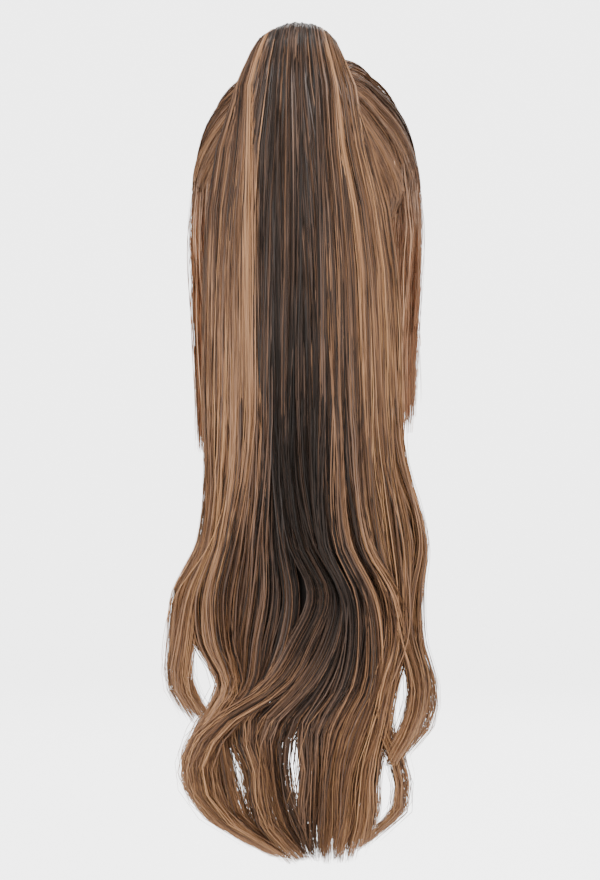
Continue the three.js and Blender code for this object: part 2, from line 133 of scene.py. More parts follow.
def rim_reach(bearing):
    turned = np.mod(bearing, 360)
    return np.radians(between(RIM_BEARINGS, RIM_REACHES, np.minimum(turned, 360 - turned)))


def flow_direction(bearing, from_root):
    turn, away = np.radians(bearing)[..., None], np.asarray(from_root)[..., None]
    side = np.cos(turn) * towards_face + np.sin(turn) * RIGHT
    return np.cos(away) * root_axis + np.sin(away) * side


root_radius = float(head_radius(root_axis, OVER_CAP + SWEPT_HAIR))
plateau_radius = NECK_RADIUS + FIT_GAP + TIE_WALL + PLATEAU_MARGIN
plateau_angle = np.arctan(plateau_radius / root_radius)
mound_angle = MOUND_SPREAD * plateau_angle
foot = head_point(root_axis, root_radius)


def swept_radius(direction, bearing, from_root, from_rim):
    """Distance of the swept hair's surface from the middle of the head."""
    fullness = ease(from_rim * root_radius / HAIRLINE_TAPER)
    settle = ease((from_root - plateau_angle) / plateau_angle)
    relief = CLUMP_RELIEF * np.cos(np.radians(CLUMPS * bearing)) * fullness * settle
    rise = OVER_CAP + mix(HAIRLINE_HAIR, SWEPT_HAIR, fullness) + relief
    level = root_radius / np.cos(np.minimum(from_root, plateau_angle))
    mound = 1 - ease((from_root - plateau_angle) / (mound_angle - plateau_angle))
    return mix(head_radius(direction, rise), level, mound * fullness)


print("foot of the tie at", foot.round(4))

# %% [markdown]
# The way of the ponytail
# The tail goes straight up through the tie, turns over in a round crest and hangs. A place in it is
# told by three numbers: the run from the root, how far across, and how far out of the middle layer.
# The table of sections gives how wide and deep the gathered mass is on the way.

# %% Way and sections of the ponytail
TIE_HEIGHT = 9 * MM
TAIL_HALF_WIDTH = 76 * MM
TAIL_HALF_DEPTH = 27 * MM
TAIL_SPREAD = 100 * MM
TAIL_WRAP = 10 * MM
HANG_CLEARANCE = 1 * MM
HANG_LENGTH = 592 * MM
LOCK_PROUD = 3.5 * MM
SECTION_ARC = [0, 0.2, 0.38, 0.56, 0.78, 1, 1, 1, 1, 1, 1, 1, 1, 1, 1]
SECTION_HANG = [0, 0, 0, 0, 0, 0, 0.07, 0.15, 0.27, 0.46, 0.59, 0.7, 0.8, 0.87, 0.93]
SECTION_WIDTH = [0, 0.04, 0.12, 0.21, 0.33, 0.48, 0.7, 0.83, 0.93, 0.96, 0.78, 0.66, 0.4, 0.1, -0.25]
SECTION_DEPTH = [0, 0.12, 0.28, 0.45, 0.65, 0.85, 1, 1, 1, 0.95, 0.9, 0.8, 0.2, -0.5, -1.6]
SECTION_WRAP = [0, 0, 0, 0.1, 0.4, 0.8, 1, 1, 0.8, 0.4, 0.3, 0.3, 0.2, 0.1, 0]
SECTION_SHIFT = [0, 0.03, 0.06, 0.08, 0.09, 0.09, 0.08, 0.06, 0.04, 0.03, -0.06, -0.01, -0.02, 0.02, 0.04]

straight = TIE_HEIGHT + 2 * FIT_GAP
hang_back = HEAD_HALVES[1] + OVER_CAP + SWEPT_HAIR + CLUMP_RELIEF + HANG_CLEARANCE + TAIL_HALF_DEPTH
crest_turn = np.pi - ROOT_TILT
crest_start = foot + root_axis * straight
crest_radius = (hang_back - crest_start[1]) / (1 + np.cos(ROOT_TILT))
crest_length = crest_radius * crest_turn
crest_centre = np.array(
    [0, hang_back - crest_radius, crest_start[2] - crest_radius * np.sin(ROOT_TILT)]
)


def run_at(arc, hang):
    return straight + np.asarray(arc) * crest_length + np.asarray(hang) * HANG_LENGTH


def hang_at(run):
    return (run - run_at(1, 0)) / HANG_LENGTH


SECTION_RUNS = run_at(SECTION_ARC, SECTION_HANG)


def tail_frame(run):
    """The middle of the tail after a run from the root, and the outward direction there."""
    angle = ROOT_TILT + clamp((run - straight) / crest_length) * crest_turn
    outward = np.stack([0 * angle, -np.cos(angle), np.sin(angle)], -1)
    centre = crest_centre + outward * crest_radius
    centre = centre + np.minimum(0, run - straight)[..., None] * root_axis
    centre[..., 2] -= np.maximum(0, hang_at(run)) * HANG_LENGTH
    return centre, outward


def half_width_at(run):
    return mix(NECK_RADIUS, TAIL_HALF_WIDTH, between(SECTION_RUNS, SECTION_WIDTH, run))


def half_depth_at(run):
    full = TAIL_HALF_DEPTH - LOCK_PROUD
    return mix(NECK_RADIUS, full, between(SECTION_RUNS, SECTION_DEPTH, run))


def shift_at(run):
    return between(SECTION_RUNS, SECTION_SHIFT, run) * TAIL_SPREAD


def tail_point(run, across, out):
    centre, outward = tail_frame(run)
    aside = np.minimum(1, np.abs(across) / TAIL_HALF_WIDTH) ** 2
    wrap = TAIL_WRAP * between(SECTION_RUNS, SECTION_WRAP, run) * aside
    return centre + outward * (out - wrap)[..., None] + across[..., None] * RIGHT


print("crest radius in mm", round(crest_radius / MM, 1), "hanging length", HANG_LENGTH / MM)

# %% [markdown]
# The locks of the tail
# Below the shoulders the tail falls apart into loose wavy locks. Each row of this table is one
# lock. Its first columns say how far across its middle lies, in millimetres towards the wearer's
# left, at the nine levels. Then come its layer in the depth, its girth and where it ends, and last
# its tone from 0, the darkest brown, to 1, light caramel: at the crest, at the shoulders, in the
# swell below them and at the tip. Many locks draw together at the left at level 0.83, where they
# are pinched before they curl under; one of them sweeps there from the middle, over the others.
# The rows go from left to right. The last nine, whose layer is below 0, hang on the inner side,
# towards the head: four long ones, and five short ones that close the gaps between them.

# %% Table of the locks
LEVELS = [0.46, 0.59, 0.66, 0.72, 0.78, 0.83, 0.89, 0.95, 1.0]
SHOULDER = LEVELS[0]
WAIST = LEVELS[5]
TONE_LEVELS = [0, 0.46, 0.7, 0.93]
PLACES = "shoulder bend swell belly narrow waist flare curl tip"
LOOKS = "layer girth ends crest_tone mid_tone swell_tone tip_tone"
LOCK_ROWS = [
    (74, 79, 97, 99, 99, 83, 78, 77, 76, 0.1, 0.9, 0.83, 0.42, 0.66, 0.74, 0.78),
    (68, 75, 90, 93, 93, 77, 74, 73, 72, 0.4, 0.8, 0.83, 0.42, 0.66, 0.72, 0.78),
    (63, 71, 84, 82, 63, 79, 91, 70, 24, 0.5, 0.7, 0.99, 0.40, 0.62, 0.68, 0.86),
    (57, 66, 78, 75, 60, 77, 83, 66, 23, 0.6, 0.9, 1.00, 0.38, 0.64, 0.64, 0.92),
    (52, 60, 69, 67, 58, 75, 77, 62, 22, 0.8, 0.9, 1.00, 0.36, 0.64, 0.58, 0.92),
    (46, 52, 59, 60, 57, 73, 72, 58, 20, 0.8, 0.9, 1.00, 0.34, 0.58, 0.54, 0.90),
    (41, 45, 49, 52, 53, 71, 67, 55, 18, 0.9, 0.9, 1.00, 0.28, 0.52, 0.50, 0.88),
    (35, 37, 38, 42, 46, 67, 62, 51, 14, 0.9, 0.9, 1.00, 0.24, 0.42, 0.46, 0.84),
    (29, 29, 27, 32, 39, 57, 43, 36, 9, 0.9, 1.0, 1.01, 0.22, 0.24, 0.40, 0.76),
    (23, 19, 13, 18, 31, 48, 38, 33, 7, 0.9, 0.9, 1.01, 0.22, 0.07, 0.30, 0.62),
    (18, 9, -9, 4, 26, 71, 87, 68, 19, 1.1, 1.2, 1.00, 0.24, 0.06, 0.30, 0.84),
    (12, 1, -18, -12, 7, 33, 30, 22, 4, 0.6, 1.0, 1.01, 0.24, 0.06, 0.16, 0.59),
    (5, -5, -24, -22, -5, 18, 22, 13, -1, 0.7, 1.0, 1.01, 0.26, 0.07, 0.14, 0.55),
    (-2, -10, -29, -29, -17, 0, -1, 3, -6, 0.8, 1.0, 1.01, 0.28, 0.10, 0.16, 0.53),
    (-9, -15, -34, -36, -28, -11, -9, -9, -10, 0.9, 1.0, 1.01, 0.30, 0.20, 0.24, 0.57),
    (-16, -21, -40, -43, -38, -22, -15, -15, -16, 0.9, 1.0, 1.01, 0.30, 0.32, 0.32, 0.63),
    (-22, -27, -46, -50, -47, -33, -24, -24, -22, 0.9, 1.0, 1.01, 0.30, 0.40, 0.44, 0.67),
    (-28, -33, -52, -56, -53, -43, -33, -33, -28, 0.9, 1.0, 1.01, 0.32, 0.40, 0.50, 0.73),
    (-33, -39, -58, -62, -58, -51, -43, -41, -34, 0.9, 0.9, 1.00, 0.34, 0.44, 0.58, 0.79),
    (-38, -46, -66, -76, -84, -78, -60, -58, -58, 1.0, 0.8, 0.885, 0.36, 0.54, 0.70, 0.86),
    (-46, -54, -63, -66, -60, -59, -72, -68, -30, 0.5, 0.8, 1.00, 0.38, 0.62, 0.64, 0.74),
    (-54, -65, -72, -71, -61, -56, -50, -49, -40, 0.6, 1.0, 0.99, 0.42, 0.66, 0.68, 0.82),
    (-61, -76, -77, -78, -88, -83, -66, -66, -66, 0.7, 0.9, 0.885, 0.52, 0.64, 0.68, 0.90),
    (-68, -87, -82, -82, -91, -88, -64, -64, -64, 0.3, 0.9, 0.88, 0.58, 0.72, 0.72, 0.90),
    (50, 54, 62, 62, 52, 62, 62, 52, 38, -0.8, 1.4, 0.84, 0.40, 0.45, 0.45, 0.58),
    (20, 16, 14, 18, 27, 42, 44, 34, 24, -0.8, 1.6, 0.88, 0.35, 0.25, 0.28, 0.52),
    (-12, -18, -26, -26, -22, -13, -12, -12, -10, -0.8, 1.6, 0.98, 0.35, 0.20, 0.25, 0.50),
    (-46, -54, -60, -58, -50, -42, -36, -34, -28, -0.8, 1.5, 0.98, 0.40, 0.42, 0.46, 0.56),
    (65, 68, 76, 74, 66, 66, 66, 66, 66, -0.8, 1.3, 0.67, 0.40, 0.50, 0.50, 0.58),
    (35, 36, 38, 40, 42, 44, 44, 44, 44, -0.8, 1.3, 0.74, 0.36, 0.36, 0.38, 0.52),
    (4, 0, -6, -4, 6, 10, 10, 10, 10, -0.8, 1.3, 0.71, 0.34, 0.22, 0.26, 0.50),
    (-29, -36, -43, -42, -36, -32, -32, -32, -32, -0.8, 1.3, 0.75, 0.38, 0.30, 0.36, 0.52),
    (-62, -68, -70, -68, -64, -62, -62, -62, -62, -0.8, 1.3, 0.69, 0.42, 0.50, 0.50, 0.58),
]


def as_table(columns, rows):
    """Rows of a table as one dictionary a row."""
    return [dict(zip(columns.split(), row)) for row in rows]


locks = as_table(PLACES + " " + LOOKS, LOCK_ROWS)
print("locks in the tail:", len(locks))

# %% [markdown]
# Fibres as ribbons
# A real fibre is a tenth of a millimetre thick, and a wig has a hundred thousand of them. Curves
# with a round bevel would cost dozens of faces each. A flat ribbon, a little under a millimetre
# wide and turned a little at random, costs two triangles a step and shades like a small wisp of
# fibres. One function turns the middle lines of many fibres into one joined mesh.
# Its texture coordinates hold no picture: across them runs the fibre's tone, from dark to caramel,
# and up them its place from root to tip. So the colour needs only those two numbers.

# %% Ribbon meshes
TONE_STEP = 0.004  # half of a ribbon's own width in the tone direction


def new_mesh_piece(name, vertices, faces, uvs=None):
    """An object from arrays of corners and four-sided faces, with a texture place for each corner."""
    mesh = bpy.data.meshes.new(name)
    mesh.vertices.add(len(vertices))
    mesh.vertices.foreach_set("co", np.asarray(vertices, np.float32).ravel())
    mesh.loops.add(faces.size)
    mesh.loops.foreach_set("vertex_index", faces.astype(np.int32).ravel())
    mesh.polygons.add(len(faces))
    mesh.polygons.foreach_set("loop_start", np.arange(0, faces.size, 4, dtype=np.int32))
    mesh.update(calc_edges=True)
    mesh.polygons.foreach_set("use_smooth", np.ones(len(faces), bool))
    if uvs is not None:
        layer = mesh.uv_layers.new(name="OFBake")
        layer.data.foreach_set("uv", np.asarray(uvs[faces.ravel()], np.float32).ravel())
    piece = bpy.data.objects.new(name, mesh)
    bpy.context.scene.collection.objects.link(piece)
    return piece


def ribbon_piece(name, lines, widths, facing, tones, twist):
    """Fibres as flat ribbons. lines and facing are fibres x stations x 3, the rest one number each."""
    fibres, stations = lines.shape[:2]
    along = unit(np.gradient(lines, axis=1))
    aside = unit(np.cross(along, facing))
    turn = np.broadcast_to(twist, (fibres, stations))[..., None]
    aside = aside * np.cos(turn) + np.cross(aside, along) * np.sin(turn)
    offset = aside * widths[..., None] / 2
    vertices = np.stack([lines - offset, lines + offset], 2).reshape(-1, 3)
    first = (np.arange(fibres)[:, None] * stations + np.arange(stations - 1)) * 2
    faces = np.stack([first, first + 1, first + 3, first + 2], -1).reshape(-1, 4)
    tone = np.clip(tones, 2 * TONE_STEP, 1 - 2 * TONE_STEP)
    place = np.broadcast_to(np.linspace(0.01, 0.99, stations), (fibres, stations))
    uvs = np.stack([np.stack([tone + s, place], -1) for s in (-TONE_STEP, TONE_STEP)], 2)
    piece = new_mesh_piece(name, vertices, faces, uvs.reshape(-1, 2))
    print(name, fibres, "fibres,", 2 * len(faces), "triangles")
    return piece


print("a ribbon spans", 2 * TONE_STEP, "of the tones")

# %% [markdown]
# The colour of the fibres
# The wig is a blend: dark brown fibres, mid-brown ones and caramel highlights. A colour ramp turns
# a fibre's tone into its colour. On top of it goes what a blend has at close range: each fibre a
# little lighter or darker than its neighbour, and slow changes along it. It is a node group,
# because the gathered tail, the swept hair and the face locks all use it with their own values.

# %% Node group for fibre colour
FIBRE_COLOURS = [
    (0.00, (0.012, 0.0080, 0.0056)),
    (0.22, (0.031, 0.0195, 0.0140)),
    (0.45, (0.120, 0.067, 0.043)),
    (0.70, (0.300, 0.153, 0.077)),
    (1.00, (0.520, 0.280, 0.135)),
]
FIBRE_SOCKETS = [
    ("Tone Shift", "NodeSocketFloat", "INPUT", 0.0),
    ("Fibre Contrast", "NodeSocketFloat", "INPUT", 0.4),
    ("Brightness", "NodeSocketFloat", "INPUT", 1.0),
    ("Saturation", "NodeSocketFloat", "INPUT", 1.0),
    ("Colour", "NodeSocketColor", "OUTPUT", None),
    ("Roughness", "NodeSocketFloat", "OUTPUT", None),
]
FIBRE_NOISE = (160, 5, 1)  # its scale across the tones and from root to tip
SMOOTHEST = 0.3  # roughness of the shiniest fibres
ROUGHNESS_RANGE = 0.2


def add_node(tree, kind, **settings):
    node = tree.nodes.new(kind)
    for key, value in settings.items():
        setattr(node, key, value)
    return node


def fill_ramp(ramp, stops):
    while len(ramp.elements) < len(stops):
        ramp.elements.new(0.5)
    for element, (place, colour) in zip(ramp.elements, stops):
        element.position = place
        element.color = (*colour, 1)


def math_node(tree, operation, a, b):
    node = add_node(tree, "ShaderNodeMath", operation=operation)
    for socket, value in zip(node.inputs, (a, b)):
        if isinstance(value, (int, float)):
            socket.default_value = value
        else:
            tree.links.new(value, socket)
    return node.outputs[0]


def new_group(name, sockets):
    """A shader node group with named sockets, and the two nodes that hold them inside it."""
    group = bpy.data.node_groups.new(name, "ShaderNodeTree")
    for label, kind, direction, value in sockets:
        socket = group.interface.new_socket(name=label, in_out=direction, socket_type=kind)
        if value is not None:
            socket.default_value = value
    return group, add_node(group, "NodeGroupInput"), add_node(group, "NodeGroupOutput")


def fibre_colour_group():
    group, given, result = new_group("fibre_colour", FIBRE_SOCKETS)
    place = add_node(group, "ShaderNodeUVMap", uv_map="OFBake")
    axes = add_node(group, "ShaderNodeSeparateXYZ")
    group.links.new(place.outputs["UV"], axes.inputs[0])
    tone = math_node(group, "ADD", axes.outputs["X"], given.outputs["Tone Shift"])
    ramp = add_node(group, "ShaderNodeValToRGB")
    fill_ramp(ramp.color_ramp, FIBRE_COLOURS)
    group.links.new(tone, ramp.inputs["Fac"])
    # Fine noise across the tones, drawn out long from root to tip
    stretch = add_node(group, "ShaderNodeMapping")
    stretch.inputs["Scale"].default_value = FIBRE_NOISE
    group.links.new(place.outputs["UV"], stretch.inputs["Vector"])
    noise = add_node(group, "ShaderNodeTexNoise")
    noise.inputs["Scale"].default_value = 1.0
    noise.inputs["Detail"].default_value = 3.0
    group.links.new(stretch.outputs[0], noise.inputs["Vector"])
    centred = math_node(group, "SUBTRACT", noise.outputs["Fac"], 0.5)
    varied = math_node(group, "MULTIPLY", centred, given.outputs["Fibre Contrast"])
    value = math_node(group, "ADD", math_node(group, "MULTIPLY", varied, 2.0), 1.0)
    value = math_node(group, "MULTIPLY", value, given.outputs["Brightness"])
    tint = add_node(group, "ShaderNodeHueSaturation")
    group.links.new(ramp.outputs["Color"], tint.inputs["Color"])
    group.links.new(value, tint.inputs["Value"])
    group.links.new(given.outputs["Saturation"], tint.inputs["Saturation"])
    group.links.new(tint.outputs["Color"], result.inputs["Colour"])
    rough = math_node(group, "MULTIPLY", noise.outputs["Fac"], ROUGHNESS_RANGE)
    rough = math_node(group, "ADD", rough, SMOOTHEST)
    group.links.new(rough, result.inputs["Roughness"])
    return group


fibre_colour = fibre_colour_group()
print("colour stops:", len(FIBRE_COLOURS))

# %% [markdown]
# The fibre material
# Synthetic fibre is smooth plastic with a satin shine, so a Principled shader with a middling
# roughness does it. A little sheen stands for the pale light that fine hair catches at its edges.
# The shine and sheen are plain numbers on the shader, the same all over. Light comes through the thin
# locks at the temples, so their fibres are made brighter than the imported hair of the tail: painted
# light on top of their caramel colour.


# %% Fibre materials
def fibre_material(name, tone_shift=0.0, contrast=0.8, brightness=1.0, saturation=1.0, sheen=0.04):
    material = bpy.data.materials.new(name)
    material.use_nodes = True
    tree = material.node_tree
    shader = tree.nodes["Principled BSDF"]
    group = add_node(tree, "ShaderNodeGroup", node_tree=fibre_colour)
    group.inputs["Tone Shift"].default_value = tone_shift
    group.inputs["Fibre Contrast"].default_value = contrast
    group.inputs["Brightness"].default_value = brightness
    group.inputs["Saturation"].default_value = saturation
    tree.links.new(group.outputs["Colour"], shader.inputs["Base Color"])
    tree.links.new(group.outputs["Roughness"], shader.inputs["Roughness"])
    shader.inputs["Specular IOR Level"].default_value = 0.22
    shader.inputs["Sheen Weight"].default_value = sheen
    shader.inputs["Sheen Roughness"].default_value = 0.4
    return material


tail_fibre = fibre_material("tail_fibre")
crown_fibre = fibre_material("crown_fibre", brightness=1.05)
# Caramel colour, made brighter with painted light for the light that comes through the thin locks
caramel_painted_light_fibre = fibre_material("caramel_painted_light_fibre", brightness=1.6, saturation=0.88)
# A darker copy without sheen: painted shade for the packed hair in the core and the shell
painted_shade_fibre = fibre_material("painted_shade_fibre", brightness=0.7, sheen=0.0)


def dress(piece, material, slot, *nodes):
    """Gives a piece its material, lets it ride, and hides the solids it stands for. slot is not used."""
    piece.data.materials.append(material)
    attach(piece, "root")
    if nodes:
        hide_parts(*nodes)
    return piece


print("materials:", [m.name for m in bpy.data.materials])

# %% [markdown]
# The core of the tail
# Inside, the tail is packed hair that no light goes through. Filling it with ribbons would waste them, so
# a body of the same form, a few millimetres inside the outer fibres, stands for it, painted dark as
# shade. It comes to a point where the locks part, so that light shows between the loose ends. At its two
# sides it shows between the outer and the inner locks, so there its painted shade is lighter, and it is
# in strands.

# %% Bodies from rings
CORE_INSET = 4.5 * MM
CORE_SIDES = 96
CORE_STATIONS = 48
CORE_LAST = 0.74  # share of the hanging length at which it ends
CREST_INSET = 0.4  # share of the inset that is left on the crest
# Painted shade: the dark tone of the packed hair inside
CORE_SHADED_TONE = 0.12
CORE_SIDE_LESS_SHADE = 0.42  # how much lighter its painted shade is at its sides
CORE_STRANDS = 0.1  # how much its strands differ in tone
LID_SIZE = 0.02  # size of the first and last ring against their neighbours


def ring_piece(name, rings, tone):
    """A closed body through rings of equally many points, its ends drawn to the rings' middles."""
    ends = [mix(np.repeat(r.mean(0)[None], len(r), 0), r, LID_SIZE) for r in (rings[0], rings[-1])]
    rings = np.array([ends[0], *rings, ends[1]])
    count, sides = rings.shape[:2]
    index = np.arange(count * sides).reshape(count, sides)
    near, far = index[:-1], index[1:]
    walls = np.stack([near, np.roll(near, -1, 1), np.roll(far, -1, 1), far], -1).reshape(-1, 4)
    middles = np.array([rings[0].mean(0), rings[-1].mean(0)])
    lids = []
    for ring, pole in ((index[0][::-1], count * sides), (index[-1], count * sides + 1)):
        for i in range(0, sides, 2):
            lids.append([pole, ring[i], ring[(i + 1) % sides], ring[(i + 2) % sides]])
    u = np.broadcast_to(clamp(tone + 0.06 * np.sin(np.arange(sides))), (count, sides))
    v = np.broadcast_to(np.linspace(0.02, 0.98, count)[:, None], (count, sides))
    uvs = np.vstack([np.stack([u, v], -1).reshape(-1, 2), [[np.mean(tone), 0.0], [np.mean(tone), 1.0]]])
    vertices = np.vstack([rings.reshape(-1, 3), middles])
    return new_mesh_piece(name, vertices, np.vstack([walls, lids]), uvs)


def tail_core():
    runs = np.concatenate(
        [[FIT_GAP, straight], np.linspace(straight, run_at(1, CORE_LAST), CORE_STATIONS)[1:]]
    )
    inset = CORE_INSET * ease((runs - straight) / crest_length * 2)
    inset = inset * mix(CREST_INSET, 1, ease(hang_at(runs) / 0.1))
    narrow = 1 - 0.75 * ease((hang_at(runs) - 0.45) / 0.25)
    turn = np.linspace(0, 2 * np.pi, CORE_SIDES, endpoint=False)
    wide = (half_width_at(runs) - inset) * narrow
    deep = (half_depth_at(runs) - inset) * (0.25 + 0.75 * narrow)
    run = np.repeat(runs[:, None], CORE_SIDES, 1)
    across = shift_at(run) + wide[:, None] * np.cos(turn)
    strands = np.random.default_rng(10).normal(0, CORE_STRANDS, CORE_SIDES)
    # Painted shade, darkest in the middle and lighter at the sides, with strands of random tone
    tones = CORE_SHADED_TONE + CORE_SIDE_LESS_SHADE * np.abs(np.cos(turn)) ** 3 + strands
    return ring_piece("tail_core", tail_point(run, across, deep[:, None] * np.sin(turn)), tones)


core = dress(tail_core(), painted_shade_fibre, "brown_hair", "ponytail")
print("core:", len(core.data.polygons), "faces")

# %% [markdown]
# The fibres of the tail
# Every fibre belongs to a lock and starts in the tie. Over the crest and down to the shoulders all
# the fibres lie side by side, as combed hair does. They dip under one another now and then, which
# breaks the long lines up as in real hair. Below, each lock draws its fibres into a few smaller
# wisps, and each wisp waves by itself. Fibres end at different lengths, so the ends thin out.
# First comes where the lock as a whole lies: its lane in the table, narrowed over the crest.

# %% Stations of a fibre, and where its lock lies
CREST_STATIONS = 7
COMBED_STATIONS = 5
LOOSE_STATIONS = 25
CURL_CROWDING = 0.09  # draws the stations together where the curls are tightest
COMBED_SHARE = 0.4  # how far down the fibres lie combed
LANE_HALF_WIDTH = 6.5 * MM
STREAK_LEVELS = [0, 0.2, *LEVELS]


def fibre_runs(ends):
    """Runs along each fibre: a few steps where it lies combed, closer ones where it waves."""
    crest = run_at(np.linspace(0, 1, CREST_STATIONS, endpoint=False), 0)
    crest[0] = 2 * FIT_GAP
    combed = np.linspace(0, COMBED_SHARE, COMBED_STATIONS, endpoint=False)
    loose = np.linspace(0, 1, LOOSE_STATIONS)
    loose = loose + CURL_CROWDING * np.sin(2 * np.pi * loose)
    hang = np.hstack(
        [np.broadcast_to(combed, (len(ends), len(combed))), mix(COMBED_SHARE, ends[:, None], loose)]
    )
    return np.hstack([np.broadcast_to(crest, (len(ends), len(crest))), run_at(1, hang)])


CREST_GATHER = 0.94  # the hair draws in a little over the crest
TIP_GATHER = 0.75  # each lock is slimmer below the waist, so that light comes between them


def lane_across(lock, run, hang):
    """Where the middle of a lock lies: fanned out from the tie, then by its row of the table."""
    own = [lock[name] * MM for name in PLACES.split()]
    if "crest" in lock:
        own = between(STREAK_LEVELS, [lock["crest"] * MM, lock["neck"] * MM, *own], hang, 1)
        spread = half_width_at(run) / half_width_at(run_at(1, 0))
        on_crest = shift_at(run) + (own - shift_at(run_at(1, 0))) * spread
        return np.where(run < run_at(1, 0), on_crest, own)
    combed = np.minimum(run, run_at(1, SHOULDER))
    lane = lock["shoulder"] * MM / TAIL_HALF_WIDTH * mix(CREST_GATHER, 1, ease(hang / 0.2))
    fanned = shift_at(combed) + lane * half_width_at(combed)
    return mix(fanned, between(LEVELS, own, hang, 1), ease(hang / SHOULDER))


def taper_to_tip(place, tip, last):
    """1 along a fibre, narrowing to tip over its last share."""
    return mix(1, tip, ease((place - 1) / last + 1))


print("stations a fibre:", CREST_STATIONS + COMBED_STATIONS + LOOSE_STATIONS)

# %% [markdown]
# Depth and tone of the fibres
# Two more helpers serve each fibre. Where the hair lies combed, its height follows the round of the
# section, and a fibre deeper in the imported outer layer lies a little lower. Its tone comes from the
# lock's row. On top of that each fibre has its own, and a few are much lighter or darker, which is what
# makes a blend of fibres look real. Deeper fibres are also painted darker, as painted shade.

# %% Depth and tone of one lock's fibres
PACKED_DEPTH = 3.5 * MM  # depth of the outer hair that the fibres fill
STREAK_DEPTH = 0.3  # share of it that a highlight fills
WISPS = 4
TONE_SPREAD = 0.14
WISP_TONE_SPREAD = 0.04
PAINTED_SHADE_BELOW = 0.08  # painted shade: how much darker in tone a fibre at the bottom of the outer hair is
LIGHT_SHARE = 0.08  # share of the fibres that are lighter than the rest
LIGHTER = 0.2
DARK_SHARE = 0.1
DARKER = 0.3
EVEN_TONE = 0.35  # in locks darker than this the fibres differ less


def share_across(across, run):
    """How far a fibre lies from the middle of the section, up to 1 at its edge."""
    return np.clip(np.abs(across - shift_at(run)) / (half_width_at(run) * 1.1), 0, 1)


def combed_height(lock, run, hang, share, below):
    proud = LOCK_PROUD * ease(hang / 0.1) + lock.get("lift", 0) * MM
    packed = PACKED_DEPTH * (STREAK_DEPTH if "lift" in lock else 1)
    return (half_depth_at(run) + proud) * np.sqrt(1 - share**2) - np.maximum(0, below) * packed


def fibre_tones(lock, hang, depth, wisp, rng):
    count = len(depth)
    tone = between(TONE_LEVELS, [lock[name] for name in LOOKS.split()[3:]], hang)
    # Deeper fibres get painted shade; the rest of a fibre's own tone differs at random
    own = rng.normal(0, TONE_SPREAD, count) - PAINTED_SHADE_BELOW * depth
    own = own + LIGHTER * (rng.random(count) < LIGHT_SHARE)
    own = own - DARKER * (rng.random(count) < DARK_SHARE)
    own = own + rng.normal(0, WISP_TONE_SPREAD, WISPS)[wisp]
    return tone + own[:, None] * mix(0.5, 1, clamp(tone / EVEN_TONE))


print("packed outer hair:", round(PACKED_DEPTH / MM, 1), "mm deep")

# %% Paths of the fibres of one lock
FIBRE_WIDTH = 0.8 * MM
WISP_SHORT = 0.02  # how much shorter a wisp or a fibre may be, as a share
FIBRE_SHORT = 0.02
LAYERED_SHARE = 0.05  # share of the fibres that end much higher
LAYERED_SHORT = 0.2
WISP_WAVE = 2.0 * MM
WISP_WAVES = 1.9  # on the hanging length
STRAY = 1.2 * MM  # how far a single fibre wanders
STRAY_SHARE = 0.12  # share of the fibres that wander much further
LOOSE_ENDS = 2 * MM  # how far the tips scatter
LOCK_HALF_DEPTH = 9.5 * MM
DEPTH_WAVE = 7 * MM
WAVES = 1.25
WAVE_STAGGER = 0.7
DIPS = 0.22  # how far a fibre rises and dips in the outer hair, as a share
SIDESTEPS = 0.35 * MM


